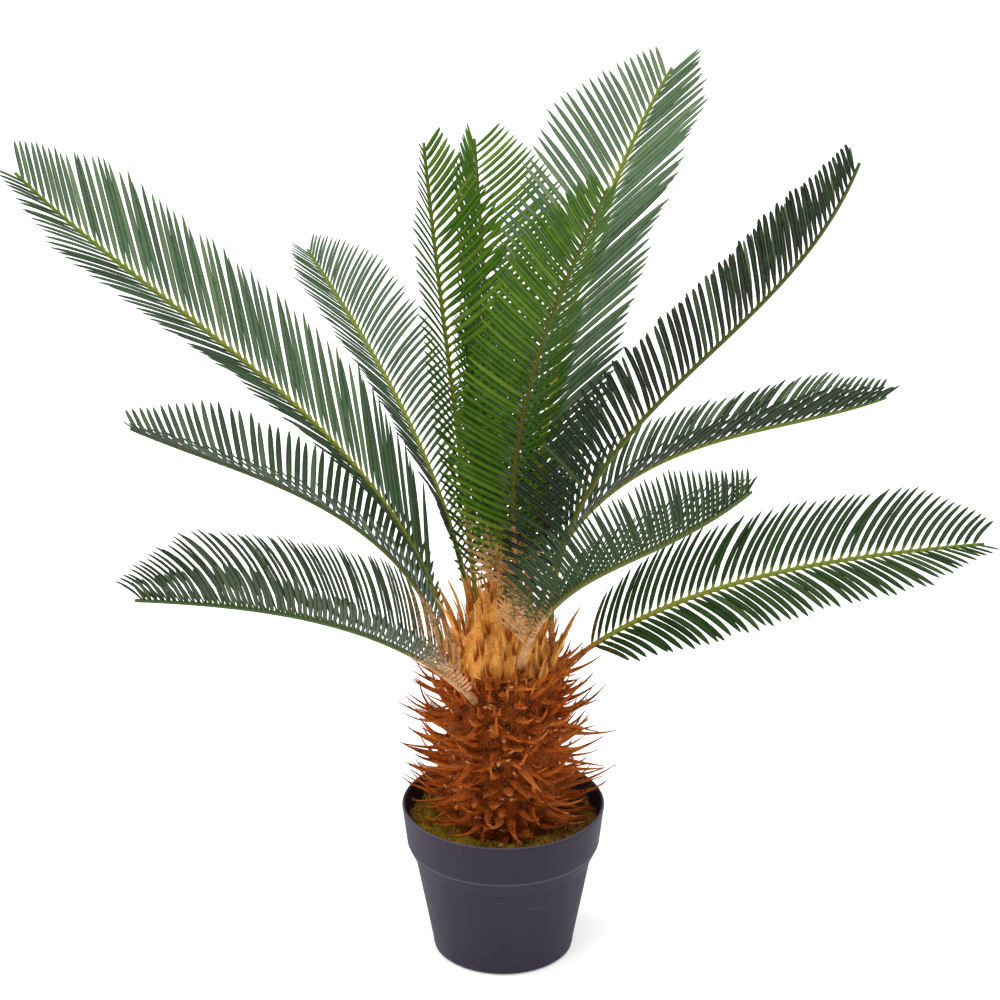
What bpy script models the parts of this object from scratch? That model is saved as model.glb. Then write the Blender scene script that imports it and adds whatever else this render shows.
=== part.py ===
# An artificial sago palm in a nursery pot, about 0.75 m tall.
# Metres, +Z up. The origin is the centre of the pot's flat underside, and +Y points
# to the back of the plant. Every piece is a separate solid: the pot, the bed of moss,
# the trunk with its short leaf stubs, the pointed bracts of the crown, and the fronds.
# A frond is one thin blade whose outline is cut to the rib between its leaflets.

import math
from collections import namedtuple

import bmesh
import bpy
from mathutils import Vector
from mathutils.bvhtree import BVHTree

# The pot
POT_HEIGHT = 0.135
RIM_RADIUS = 0.085
BAND_HEIGHT = 0.037
BAND_FOOT_RADIUS = 0.0802
STEP_HEIGHT = 0.013
STEP_RADIUS = 0.0737
FOOT_RADIUS = 0.0590
FOOT_ROUNDING = 0.005
POT_WALL = 0.0028
POT_FLOOR = 0.006
POT_SIDES = 40

# The bed of moss that fills the pot, and the gap left between touching pieces
GAP = 0.0003
MOSS_LEVEL = 0.1160
MOSS_EDGE_DROP = 0.0015
MOSS_SHOULDER = 0.010
MOSS_SIDES = 32

# The trunk: a foam core, straight below and closing to a blunt cone at the crown
TRUNK_FOOT_RADIUS = 0.0450
TRUNK_RADIUS = 0.0475
TRUNK_WAIST = 0.025
CROWN_HEIGHTS = (0.235, 0.255, 0.275, 0.295, 0.315, 0.332, 0.343)
CROWN_RADII = (0.0475, 0.0460, 0.0410, 0.0340, 0.0260, 0.0160, 0.0)
TRUNK_SIDES = 18
STUB_ROWS = 8
STUB_TOP = 0.246
STUB_LENGTH = 0.040
LOWEST_STUB_LENGTH = 0.026
STUB_REACH = (0.42, 1.0)
STUB_RISE = (math.radians(14), math.radians(30))
STUB_SHOULDER_SIZE = 0.34
STUB_POINT_SIZE = 0.02
STUB_ROOM = 0.013

# How a blade is seated on the trunk: moved in over its lowest stretch, round by round
SEAT_GAP = 0.0004
SEAT_LENGTH = 0.016
SEAT_ROUNDS = 16

# The ribs and leaflets of the fronds
RIB_WIDTH = 0.0048
RIB_THICKNESS = 0.0046
RIB_TIP_SHARE = 0.36
LEAFLET_PITCH = 0.021
LEAFLET_ROOT = 0.0085
LEAFLET_WIDTH = 0.0105
LEAFLET_THICKNESS = 0.0014
LEAFLET_TIP_THICKNESS = 0.0012
FIRST_LEAFLET = 0.12
LAST_LEAFLET = 0.975
LEAFLET_LIFT = 8.0
FOOT_LEAFLET_SHARE = 0.45
FOOT_LEAFLET_GROWTH = 2.2
TIP_LEAFLET_SHARE = 0.28
TIP_LEAFLET_GROWTH = 3.0
LEAFLET_STEPS = 8
RIB_STEPS = 60

# The pointed bracts of the crown
BRACT_WIDTH = 0.0125
BRACT_FOOT_SHARE = 0.72
BRACT_BELLY_SHARE = 1.1
BRACT_TIP_WIDTH = 0.0012
BRACT_THICKNESS = 0.0032
BRACT_TIP_THICKNESS = 0.0014
BRACT_LEAN = 10
BRACT_BEND = 22
BRACT_STEPS = 4

# One entry a frond. Angles are in degrees: the heading round the trunk and how far it
# turns on the way; the rib's rise above level at its foot, halfway and at its tip.
# Each half of the blade, on the right and the left of someone looking along the rib,
# has the lift of its leaflets out of the blade's own flat and their splay from the rib,
# both at foot, halfway and tip, their curl, which is how far a leaflet bends forward,
# and the length of its longest leaflet. The rib's length and the height of its foot are
# in metres. Angles go in steps of five degrees and lengths in steps of five millimetres.
Frond = namedtuple("Frond", "name heading turn rise length foot right left")
Half = namedtuple("Half", "lift splay curl leaflet")
FRONDS = (
    Frond("frond_left_top", 165, 5, (80, 40, 45), 0.545, 0.270,
          Half((0, 10, 20), (35, 50, 40), 5, 0.120),
          Half((20, 10, 0), (35, 55, 40), -25, 0.100)),
    Frond("frond_left_back", 125, -15, (80, 30, 10), 0.430, 0.275,
          Half((-20, 0, 40), (65, 55, 30), -20, 0.075),
          Half((60, 40, 30), (50, 75, 70), -35, 0.060)),
    Frond("frond_back_left", 115, 5, (80, 75, 80), 0.425, 0.260,
          Half((40, 40, 50), (65, 60, 35), 10, 0.080),
          Half((50, 45, 50), (65, 60, 60), -20, 0.080)),
    Frond("frond_back_middle", 95, 0, (75, 50, 40), 0.415, 0.300,
          Half((30, 30, 30), (60, 65, 60), 10, 0.090),
          Half((60, 60, 60), (60, 60, 40), 0, 0.070)),
    Frond("frond_centre", -55, 0, (110, 70, 60), 0.435, 0.315,
          Half((0, 10, 30), (60, 50, 35), 5, 0.080),
          Half((10, 15, 25), (85, 90, 80), 10, 0.060)),
    Frond("frond_back_right", 55, 0, (90, 65, 35), 0.490, 0.290,
          Half((30, 20, 20), (50, 50, 40), -10, 0.110),
          Half((0, 0, 10), (60, 60, 40), -5, 0.100)),
    Frond("frond_right_top", -15, -20, (100, 50, 70), 0.550, 0.275,
          Half((40, 40, 50), (70, 50, 35), -5, 0.085),
          Half((50, 40, 50), (95, 90, 60), -5, 0.070)),
    Frond("frond_right_back", 25, -10, (90, 15, 15), 0.375, 0.300,
          Half((30, 40, 50), (50, 60, 35), 25, 0.070),
          Half((0, 10, 30), (45, 45, 45), 25, 0.070)),
    Frond("frond_front_right", -70, 25, (60, 35, 45), 0.415, 0.280,
          Half((20, 40, 70), (45, 50, 35), -15, 0.080),
          Half((50, 40, 30), (70, 75, 55), 25, 0.055)),
    Frond("frond_right_low", -10, 0, (45, 20, 10), 0.380, 0.260,
          Half((-30, -20, 0), (50, 55, 40), -20, 0.080),
          Half((30, 20, 30), (55, 65, 50), 35, 0.080)),
    Frond("frond_left_middle", 180, 15, (90, 35, 30), 0.365, 0.255,
          Half((0, 20, 30), (80, 85, 50), 0, 0.065),
          Half((20, 25, 25), (45, 40, 35), 0, 0.080)),
    Frond("frond_front_left", 240, -15, (45, 30, 20), 0.470, 0.250,
          Half((70, 70, 40), (50, 45, 35), 45, 0.085),
          Half((-10, 30, 80), (35, 35, 35), 10, 0.075)),
    Frond("frond_back_low", 90, 5, (70, 20, 15), 0.370, 0.270,
          Half((35, 40, 45), (60, 50, 40), -5, 0.065),
          Half((45, 40, 35), (60, 50, 40), -5, 0.065)),
)

# The bracts: heading, height of the foot, rise and length
Bract = namedtuple("Bract", "heading foot rise length")
BRACTS = (
    Bract(-96, 0.262, 82, 0.052),
    Bract(-118, 0.286, 78, 0.056),
    Bract(212, 0.284, 66, 0.062),
    Bract(-82, 0.300, 84, 0.046),
    Bract(-32, 0.262, 70, 0.050),
    Bract(12, 0.264, 66, 0.052),
    Bract(44, 0.268, 70, 0.054),
    Bract(73, 0.284, 72, 0.052),
    Bract(148, 0.272, 66, 0.054),
    Bract(196, 0.300, 74, 0.050),
)


def clear_scene():
    for item in list(bpy.data.objects):
        bpy.data.objects.remove(item, do_unlink=True)


def plain_material(name, colour, roughness):
    material = bpy.data.materials.new(name)
    material.use_nodes = True
    shader = material.node_tree.nodes["Principled BSDF"]
    shader.inputs["Base Color"].default_value = (*colour, 1.0)
    shader.inputs["Roughness"].default_value = roughness
    shader.inputs["Metallic"].default_value = 0.0
    return material


def add_object(name, mesh, material, collection):
    item = bpy.data.objects.new(name, mesh)
    item.data.materials.append(material)
    collection.objects.link(item)
    return item


def evaluated_copy(item):
    """A mesh with the modifiers of the object applied."""
    bpy.context.view_layer.update()
    graph = bpy.context.evaluated_depsgraph_get()
    return bpy.data.meshes.new_from_object(item.evaluated_get(graph))


# Turned pieces

def turned(name, outline, sides, material, collection):
    """Turn an outline of (radius, height) points, given top to bottom on its outer side."""
    mesh = bpy.data.meshes.new(name)
    edges = [(i, i + 1) for i in range(len(outline) - 1)]
    mesh.from_pydata([(radius, 0.0, height) for radius, height in outline], edges, [])
    item = add_object(name, mesh, material, collection)
    screw = item.modifiers.new("turn", "SCREW")
    screw.steps = sides
    screw.render_steps = sides
    screw.use_merge_vertices = True
    screw.merge_threshold = 0.0001
    screw.use_smooth_shade = True
    return item


def rounded_corner(centre, radius, start, end, count):
    """Points of an arc in the outline's plane, from one angle to another."""
    angles = [math.radians(start + (end - start) * i / count) for i in range(count + 1)]
    return [(centre[0] + radius * math.cos(a), centre[1] + radius * math.sin(a)) for a in angles]


def make_pot(material, collection):
    lip = POT_WALL / 2
    band_foot = POT_HEIGHT - BAND_HEIGHT
    step_foot = band_foot - STEP_HEIGHT
    inside = [(0.0, POT_FLOOR),
              (FOOT_RADIUS - POT_WALL - FOOT_ROUNDING, POT_FLOOR),
              (FOOT_RADIUS - POT_WALL, POT_FLOOR + FOOT_ROUNDING),
              (STEP_RADIUS - POT_WALL, step_foot),
              (BAND_FOOT_RADIUS - POT_WALL, band_foot)]
    rim = rounded_corner((RIM_RADIUS - lip, POT_HEIGHT - lip), lip, 180, 0, 4)
    outside = [(BAND_FOOT_RADIUS, band_foot), (STEP_RADIUS, step_foot)]
    heel = rounded_corner((FOOT_RADIUS - FOOT_ROUNDING, FOOT_ROUNDING), FOOT_ROUNDING, 0, -90, 3)
    return turned("pot", inside + rim + outside + heel + [(0.0, 0.0)], POT_SIDES, material, collection)


def pot_inner_radius(height):
    """The pot's inner radius at a height above its step."""
    band_foot = POT_HEIGHT - BAND_HEIGHT
    share = (height - band_foot) / BAND_HEIGHT
    return BAND_FOOT_RADIUS + (RIM_RADIUS - BAND_FOOT_RADIUS) * share - POT_WALL


def make_moss(material, collection):
    band_foot = POT_HEIGHT - BAND_HEIGHT
    step_foot = band_foot - STEP_HEIGHT
    edge_level = MOSS_LEVEL - MOSS_EDGE_DROP
    clear = 3 * GAP
    floor = POT_FLOOR + GAP
    outline = [(0.0, MOSS_LEVEL),
               (TRUNK_RADIUS + MOSS_SHOULDER, MOSS_LEVEL),
               (pot_inner_radius(edge_level) - clear, edge_level),
               (BAND_FOOT_RADIUS - POT_WALL - clear, band_foot),
               (STEP_RADIUS - POT_WALL - clear, step_foot),
               (FOOT_RADIUS - POT_WALL - clear, floor + FOOT_ROUNDING),
               (FOOT_RADIUS - POT_WALL - FOOT_ROUNDING - clear, floor),
               (0.0, floor)]
    return turned("moss_bed", outline, MOSS_SIDES, material, collection)


# The trunk

def crown_radius(height):
    """The trunk's radius at a height in the crown."""
    for i in range(len(CROWN_HEIGHTS) - 1):
        low, high = CROWN_HEIGHTS[i], CROWN_HEIGHTS[i + 1]
        if height <= high:
            share = max(0.0, (height - low) / (high - low))
            return CROWN_RADII[i] + (CROWN_RADII[i + 1] - CROWN_RADII[i]) * share
    return 0.0


def feet():
    """Where every frond and bract leaves the crown, to keep the stubs off them."""
    places = []
    for blade in FRONDS + BRACTS:
        heading = math.radians(blade.heading)
        radius = crown_radius(blade.foot)
        places.append(Vector((radius * math.cos(heading), radius * math.sin(heading), blade.foot)))
    return places


def make_trunk(material, collection):
    """Turn the core, then draw a bent stub out of every second face of its lower rows."""
    foot = MOSS_LEVEL + GAP
    rows = [foot + (STUB_TOP - foot) * i / STUB_ROWS for i in range(STUB_ROWS + 1)]
    outline = [(0.0, CROWN_HEIGHTS[-1])]
    outline += [(r, z) for r, z in zip(CROWN_RADII[-2:0:-1], CROWN_HEIGHTS[-2:0:-1])]
    for height in reversed(rows):
        share = min(1.0, (height - foot) / TRUNK_WAIST)
        outline.append((TRUNK_FOOT_RADIUS + (TRUNK_RADIUS - TRUNK_FOOT_RADIUS) * share, height))
    outline.append((0.0, foot))
    core = turned("trunk_core", outline, TRUNK_SIDES, material, collection)
    mesh = evaluated_copy(core)
    bpy.data.objects.remove(core, do_unlink=True)

    body = bmesh.new()
    body.from_mesh(mesh)
    bmesh.ops.remove_doubles(body, verts=body.verts, dist=0.0001)
    row_height = (STUB_TOP - foot) / STUB_ROWS
    keep_clear = feet()
    chosen = []
    for face in body.faces:
        centre = face.calc_center_median()
        out = math.hypot(centre.x, centre.y)
        row = math.floor((centre.z - foot) / row_height)
        column = round((math.degrees(math.atan2(centre.y, centre.x)) % 360) / (360 / TRUNK_SIDES) - 0.5)
        on_side = abs(face.normal.z) < 0.5 and out > 0.8 * TRUNK_FOOT_RADIUS
        if not (on_side and 0 <= row < STUB_ROWS and (row + column) % 2 == 0):
            continue
        if min((centre - place).length for place in keep_clear) > STUB_ROOM:
            chosen.append((face, row))
    for face, row in chosen:
        draw_stub(body, face, row)
    body.to_mesh(mesh)
    body.free()
    mesh.name = "trunk"
    return add_object("trunk", mesh, material, collection)


def draw_stub(body, face, row):
    """Draw one face out into a stub that narrows quickly and bends up to a point."""
    centre = face.calc_center_median()
    out = Vector((centre.x, centre.y, 0.0)).normalized()
    length = LOWEST_STUB_LENGTH if row == 0 else STUB_LENGTH
    sizes = (STUB_SHOULDER_SIZE, STUB_POINT_SIZE / STUB_SHOULDER_SIZE)
    for size, reach, rise in zip(sizes, STUB_REACH, STUB_RISE):
        face = bmesh.ops.extrude_discrete_faces(body, faces=[face])["faces"][0]
        place = centre + (out * math.cos(rise) + Vector((0, 0, math.sin(rise)))) * length * reach
        middle = face.calc_center_median()
        for corner in face.verts:
            corner.co = place + (corner.co - middle) * size
    bmesh.ops.pointmerge(body, verts=face.verts, merge_co=face.calc_center_median())


# Ribs, leaflets and bracts

def three_way(share, first, middle, last):
    """A smooth value through three: at the start, halfway and at the end."""
    return (first * 2 * (share - 0.5) * (share - 1)
            + middle * 4 * share * (1 - share)
            + last * 2 * share * (share - 0.5))


def direction(heading, rise):
    return Vector((math.cos(rise) * math.cos(heading), math.cos(rise) * math.sin(heading), math.sin(rise)))


class Rib:
    """The line of a blade, with its own directions, read at any share of its length."""

    def __init__(self, blade, foot):
        self.blade = blade
        self.points = [foot]
        for i in range(RIB_STEPS):
            along = direction(*self.angles((i + 0.5) / RIB_STEPS))
            self.points.append(self.points[-1] + along * blade.length / RIB_STEPS)

    def angles(self, share):
        blade = self.blade
        heading = math.radians(blade.heading + blade.turn * share)
        rise = math.radians(three_way(share, *blade.rise))
        return heading, rise

    def at(self, share):
        """The point, the way along, the way across and the upper face's normal."""
        place = share * RIB_STEPS
        i = min(int(place), RIB_STEPS - 1)
        point = self.points[i].lerp(self.points[i + 1], place - i)
        heading, rise = self.angles(share)
        along = direction(heading, rise)
        across = Vector((math.sin(heading), -math.cos(heading), 0.0))
        return point, along, across, across.cross(along).normalized()


def leaflet_share(share):
    """How long a leaflet is beside the longest one, by its place on the rib."""
    growing = min(1.0, FOOT_LEAFLET_SHARE + FOOT_LEAFLET_GROWTH * share)
    closing = min(1.0, TIP_LEAFLET_SHARE + TIP_LEAFLET_GROWTH * (1 - share))
    return growing * closing


def leaflet_line(rib, share, side):
    """The root, middle and tip of a leaflet, which may curl as it goes."""
    point, along, across, normal = rib.at(share)
    half = rib.blade.right if side > 0 else rib.blade.left
    step = half.leaflet * leaflet_share(share) / LEAFLET_STEPS
    line = [point]
    for i in range(LEAFLET_STEPS):
        far = (i + 0.5) / LEAFLET_STEPS
        splay = math.radians(three_way(share, *half.splay) + half.curl * (0.5 - far))
        lift = math.radians(three_way(share, *half.lift) + LEAFLET_LIFT * far)
        outward = across * side * math.cos(lift) + normal * math.sin(lift)
        line.append(line[-1] + (along * math.cos(splay) + outward * math.sin(splay)) * step)
    return line[0], line[LEAFLET_STEPS // 2], line[-1], along


def leaflet_corners(rib, share, side, width):
    """The two middle corners and the tip of a leaflet's outline."""
    root, middle, tip, along = leaflet_line(rib, share, side)
    forward = (tip - root).normalized()
    edge = (along - forward * along.dot(forward)).normalized() * width / 2
    return middle - edge, middle + edge, tip


def leaflet_shares(blade):
    """The places of a frond's leaflets along its rib."""
    span = LAST_LEAFLET - FIRST_LEAFLET
    count = round(span * blade.length / LEAFLET_PITCH)
    return [FIRST_LEAFLET + span * (i + 0.5) / count for i in range(count)]


def rib_half_width(share):
    return RIB_WIDTH / 2 * (1 + (RIB_TIP_SHARE - 1) * share)


def seat(blade, trunk_tree, half_width, half_depth, steepness):
    """Where a blade starts: on its heading, with its lower end just clear of the trunk."""
    heading = math.radians(blade.heading)
    out = Vector((math.cos(heading), math.sin(heading), 0.0))
    across = Vector((out.y, -out.x, 0.0))
    up = direction(heading, math.radians(steepness))
    depth = across.cross(up).normalized() * half_depth
    edges = [across * half_width * a + depth * b + up * SEAT_LENGTH * c / 8
             for a in (-1, -0.5, 0, 0.5, 1) for b in (-1, 1) for c in range(9)]
    radius = crown_radius(blade.foot) + 4 * half_depth
    for _ in range(SEAT_ROUNDS):
        foot = out * radius + Vector((0, 0, blade.foot))
        radius -= min(trunk_tree.find_nearest(foot + edge)[3] for edge in edges) - SEAT_GAP
    return out * radius + Vector((0, 0, blade.foot))


def solid_prism(low, high):
    """A closed band between two like outlines, as a tree that finds what crosses it."""
    count = len(low)
    faces = [tuple(range(count)), tuple(range(2 * count - 1, count - 1, -1))]
    faces += [(i, (i + 1) % count, (i + 1) % count + count, i + count) for i in range(count)]
    return BVHTree.FromPolygons(low + high, faces)


def rib_tree(rib):
    """A tree for a rib, a little fuller than the rib itself."""
    points = []
    faces = []
    for i in range(RIB_STEPS // 2 + 1):
        share = 2 * i / RIB_STEPS
        point, along, across, normal = rib.at(share)
        half = rib_half_width(share) + 2 * GAP
        corners = ((1, 1), (-1, 1), (-1, -1), (1, -1))
        points += [point + across * half * a + normal * half * b for a, b in corners]
    for i in range(RIB_STEPS // 2):
        faces += [(4 * i + k, 4 * i + (k + 1) % 4, 4 * i + 4 + (k + 1) % 4, 4 * i + 4 + k) for k in range(4)]
    return BVHTree.FromPolygons(points, faces)


def leaflet_tree(rib, share, side, corners):
    """A tree for one leaflet, a little thicker than the leaflet itself."""
    point, along, across, normal = rib.at(share)
    edge = along * LEAFLET_ROOT / 2
    root = point + across * side * rib_half_width(share)
    outline = [root - edge, root + edge, corners[1], corners[2], corners[0]]
    face_normal = (corners[2] - root).cross(along).normalized()
    off = face_normal * (LEAFLET_THICKNESS / 2 + 2 * GAP)
    return solid_prism([p - off for p in outline], [p + off for p in outline])


def free_leaflets(ribs, fixed_trees):
    """The leaflets of every frond that touch no rib, trunk, bract or earlier leaflet."""
    rib_trees = [rib_tree(rib) for rib in ribs]
    placed = []
    chosen = []
    for k, rib in enumerate(ribs):
        others = fixed_trees + rib_trees[:k] + rib_trees[k + 1:] + placed
        kept = {}
        new_trees = []
        for share in leaflet_shares(rib.blade):
            for side in (-1, 1):
                corners = leaflet_corners(rib, share, side, LEAFLET_WIDTH)
                tree = leaflet_tree(rib, share, side, corners)
                if not any(tree.overlap(other) for other in others):
                    kept[(share, side)] = corners
                    new_trees.append(tree)
        placed += new_trees
        chosen.append(kept)
    return chosen


def thicken(item, shares, thickness):
    """Give an open blade its thickness, point by point."""
    group = item.vertex_groups.new(name="thickness")
    for index, share in enumerate(shares):
        group.add([index], share, "REPLACE")
    solidify = item.modifiers.new("thickness", "SOLIDIFY")
    solidify.thickness = thickness
    solidify.offset = 0.0
    solidify.vertex_group = group.name
    return item


def make_frond(rib, kept, material, collection):
    """One blade: the rib's strip, and a pointed leaflet on each kept place of each side."""
    blade = rib.blade
    half_root = LEAFLET_ROOT / 2 / blade.length
    leaflets = leaflet_shares(blade)
    stations = [0.0, FIRST_LEAFLET * 0.35, FIRST_LEAFLET * 0.7]
    for share in leaflets:
        stations += [share - half_root, share + half_root]
    stations.append(1.0)
    points = []
    shares = []
    faces = []
    for share in stations:
        point, along, across, normal = rib.at(share)
        half = rib_half_width(share)
        points += [point - across * half, point + across * half]
        shares += [1 + (RIB_TIP_SHARE - 1) * share] * 2
    for i in range(len(stations) - 1):
        faces.append((2 * i, 2 * i + 1, 2 * i + 3, 2 * i + 2))
    for number, share in enumerate(leaflets):
        start = 2 * (3 + 2 * number)
        for side in (-1, 1):
            if (share, side) not in kept:
                continue
            near, far = (start, start + 2) if side < 0 else (start + 1, start + 3)
            first = len(points)
            points += kept[(share, side)]
            shares += [LEAFLET_THICKNESS / RIB_THICKNESS] * 2 + [LEAFLET_TIP_THICKNESS / RIB_THICKNESS]
            outline = [(near, far, first + 1, first), (first, first + 1, first + 2)]
            faces += outline if side < 0 else [tuple(reversed(face)) for face in outline]
    mesh = bpy.data.meshes.new(blade.name)
    mesh.from_pydata(points, [], faces)
    return thicken(add_object(blade.name, mesh, material, collection), shares, RIB_THICKNESS)


def bract_outline(bract, foot):
    """The rows of a bract's lance-shaped blade, bending out a little as it rises."""
    rows = []
    point = foot.copy()
    heading = math.radians(bract.heading)
    across = Vector((math.sin(heading), -math.cos(heading), 0.0))
    for i in range(BRACT_STEPS + 1):
        share = i / BRACT_STEPS
        fullness = BRACT_FOOT_SHARE + BRACT_BELLY_SHARE * share * (1 - share)
        width = BRACT_WIDTH * fullness * (1 - share ** 2) + BRACT_TIP_WIDTH
        rows.append((point - across * width / 2, point + across * width / 2))
        rise = math.radians(bract.rise + BRACT_LEAN - BRACT_BEND * share)
        point = point + direction(heading, rise) * bract.length / BRACT_STEPS
    return rows


def make_bract(number, bract, trunk_tree, material, collection):
    """One pointed bract, a thin blade seated on the crown."""
    foot = seat(bract, trunk_tree, BRACT_WIDTH * 0.5, BRACT_THICKNESS / 2, bract.rise + BRACT_LEAN)
    rows = bract_outline(bract, foot)
    points = [corner for row in rows for corner in row]
    faces = [(2 * i, 2 * i + 1, 2 * i + 3, 2 * i + 2) for i in range(len(rows) - 1)]
    tip_share = BRACT_TIP_THICKNESS / BRACT_THICKNESS
    shares = [1 + (tip_share - 1) * (i // 2) / (len(rows) - 1) for i in range(len(points))]
    mesh = bpy.data.meshes.new(f"bract_{number}")
    mesh.from_pydata(points, [], faces)
    return thicken(add_object(mesh.name, mesh, material, collection), shares, BRACT_THICKNESS)


def tree_of(item):
    mesh = evaluated_copy(item)
    tree = BVHTree.FromPolygons([v.co for v in mesh.vertices], [tuple(p.vertices) for p in mesh.polygons])
    bpy.data.meshes.remove(mesh)
    return tree


def main():
    clear_scene()
    plant = bpy.data.collections.new("potted sago palm")
    bpy.context.scene.collection.children.link(plant)
    pot_plastic = plain_material("pot plastic", (0.055, 0.052, 0.068), 0.55)
    moss = plain_material("moss", (0.20, 0.19, 0.03), 0.95)
    bark = plain_material("rust flock", (0.42, 0.15, 0.03), 0.95)
    gold = plain_material("gold flock", (0.62, 0.33, 0.08), 0.9)
    leaf = plain_material("leaf plastic", (0.05, 0.16, 0.03), 0.45)

    make_pot(pot_plastic, plant)
    make_moss(moss, plant)
    trunk_tree = tree_of(make_trunk(bark, plant))
    bracts = [make_bract(number, bract, trunk_tree, gold, plant) for number, bract in enumerate(BRACTS, 1)]
    ribs = [Rib(blade, seat(blade, trunk_tree, RIB_WIDTH / 2, RIB_THICKNESS / 2, blade.rise[0]))
            for blade in FRONDS]
    fixed_trees = [trunk_tree] + [tree_of(item) for item in bracts]
    for rib, kept in zip(ribs, free_leaflets(ribs, fixed_trees)):
        make_frond(rib, kept, leaf, plant)


main()
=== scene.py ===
# An artificial sago palm in a plastic nursery pot, about three quarters of a metre tall
import math
from collections import namedtuple

import bpy
import numpy as np
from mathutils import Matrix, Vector


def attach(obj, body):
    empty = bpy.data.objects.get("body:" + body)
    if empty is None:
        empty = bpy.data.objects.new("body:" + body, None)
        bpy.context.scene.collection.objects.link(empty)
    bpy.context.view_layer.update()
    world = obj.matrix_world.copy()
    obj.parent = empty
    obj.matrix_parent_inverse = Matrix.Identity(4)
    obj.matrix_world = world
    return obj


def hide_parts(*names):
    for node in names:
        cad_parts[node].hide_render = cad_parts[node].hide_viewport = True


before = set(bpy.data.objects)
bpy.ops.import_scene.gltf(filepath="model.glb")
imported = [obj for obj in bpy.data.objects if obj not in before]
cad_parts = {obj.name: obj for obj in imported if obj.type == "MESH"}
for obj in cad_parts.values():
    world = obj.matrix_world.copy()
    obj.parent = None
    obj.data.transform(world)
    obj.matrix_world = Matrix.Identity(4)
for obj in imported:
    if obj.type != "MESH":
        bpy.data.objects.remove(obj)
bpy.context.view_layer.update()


# The nursery pot
# One thin shell of dark slate polypropylene, injection moulded, with a plain deep band
# under its rounded lip, a sloping step below the band and a body that narrows to a foot.
POT_SIDES = 96
# The heights of two painted highlights: the lower edge of the deep band and the top of the lip
POT_HIGHLIGHT_BANDS = ((0.0964, 0.0990), (0.1336, 0.1356))
POT_OUTLINE = (
    (0.0512, 0.0060), (0.0546, 0.0072), (0.0562, 0.0110), (0.0709, 0.0842), (0.0725, 0.0868),
    (0.0770, 0.0972), (0.0776, 0.0996), (0.0820, 0.1315), (0.0822, 0.1334), (0.0827, 0.1344),
    (0.0836, 0.1350), (0.0844, 0.1346), (0.0849, 0.1337), (0.0850, 0.1324), (0.0846, 0.1306),
    (0.0811, 0.1012), (0.0808, 0.0996), (0.0801, 0.0984), (0.0798, 0.0972), (0.0741, 0.0852),
    (0.0737, 0.0840), (0.0598, 0.0105), (0.0592, 0.0052), (0.0584, 0.0020), (0.0566, 0.0004),
    (0.0548, 0.0001), (0.0520, 0.0001), (0.0512, 0.0008), (0.0506, 0.0022), (0.0480, 0.0024),
)


def turned_shell(name, sides, outline):
    """Draw a closed shell ring by ring, from the first (radius, height) of its outline."""
    bpy.ops.object.select_all(action="DESELECT")
    radius, height = outline[0]
    bpy.ops.mesh.primitive_circle_add(vertices=sides, radius=radius, location=(0, 0, height))
    shell = bpy.context.object
    shell.name = name
    shell.data.name = name
    bpy.ops.object.transform_apply(location=True, rotation=False, scale=False)
    bpy.ops.object.mode_set(mode="EDIT")
    bpy.ops.mesh.select_all(action="SELECT")
    bpy.ops.mesh.edge_face_add()
    for (radius, height), (new_radius, new_height) in zip(outline, outline[1:]):
        bpy.ops.mesh.extrude_region_move(TRANSFORM_OT_translate={"value": (0, 0, new_height - height)})
        size = new_radius / radius
        bpy.ops.transform.resize(value=(size, size, 1), center_override=(0, 0, new_height))
    bpy.ops.mesh.select_all(action="SELECT")
    bpy.ops.mesh.normals_make_consistent(inside=False)
    bpy.ops.object.mode_set(mode="OBJECT")
    return shell


def paint(red, green, blue):
    """A colour as it is seen, from 0 to 255, in the even values that a shader takes."""
    seen = np.array([red, green, blue]) / 255
    even = np.where(seen <= 0.04045, seen / 12.92, ((seen + 0.055) / 1.055) ** 2.4)
    return (*even.tolist(), 1.0)


def new_finish(name, roughness, specular):
    """A material, with its shader's own constants set."""
    finish = bpy.data.materials.new(name)
    finish.use_nodes = True
    shader = finish.node_tree.nodes["Principled BSDF"]
    shader.inputs["Roughness"].default_value = roughness
    shader.inputs["Specular IOR Level"].default_value = specular
    return finish, finish.node_tree.nodes, finish.node_tree.links, shader


def noise(nodes, links, place, scale, detail, stretch=(1, 1, 1), turned=(0, 0, 0)):
    """A noise over the piece's own place, turned and stretched where it says so."""
    mapping = nodes.new("ShaderNodeMapping")
    mapping.inputs["Rotation"].default_value = turned
    mapping.inputs["Scale"].default_value = stretch
    links.new(place, mapping.inputs["Vector"])
    texture = nodes.new("ShaderNodeTexNoise")
    texture.inputs["Scale"].default_value = scale
    texture.inputs["Detail"].default_value = detail
    links.new(mapping.outputs["Vector"], texture.inputs["Vector"])
    return texture.outputs["Fac"]


def ranged(nodes, links, value, low, high, first=0.0, last=1.0):
    """Spread a value from low and high to first and last, held at both ends."""
    spread = nodes.new("ShaderNodeMapRange")
    spread.interpolation_type = "SMOOTHSTEP"
    for key, number in (("From Min", low), ("From Max", high), ("To Min", first), ("To Max", last)):
        spread.inputs[key].default_value = number
    links.new(value, spread.inputs["Value"])
    return spread.outputs["Result"]


def mixed(nodes, links, share, first, second):
    """Mix two colours, each a socket or a plain colour."""
    mix = nodes.new("ShaderNodeMix")
    mix.data_type = "RGBA"
    for socket, value in ((mix.inputs[0], share), (mix.inputs[6], first), (mix.inputs[7], second)):
        if isinstance(value, bpy.types.NodeSocket):
            links.new(value, socket)
        else:
            socket.default_value = value
    return mix.outputs[2]


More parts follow.
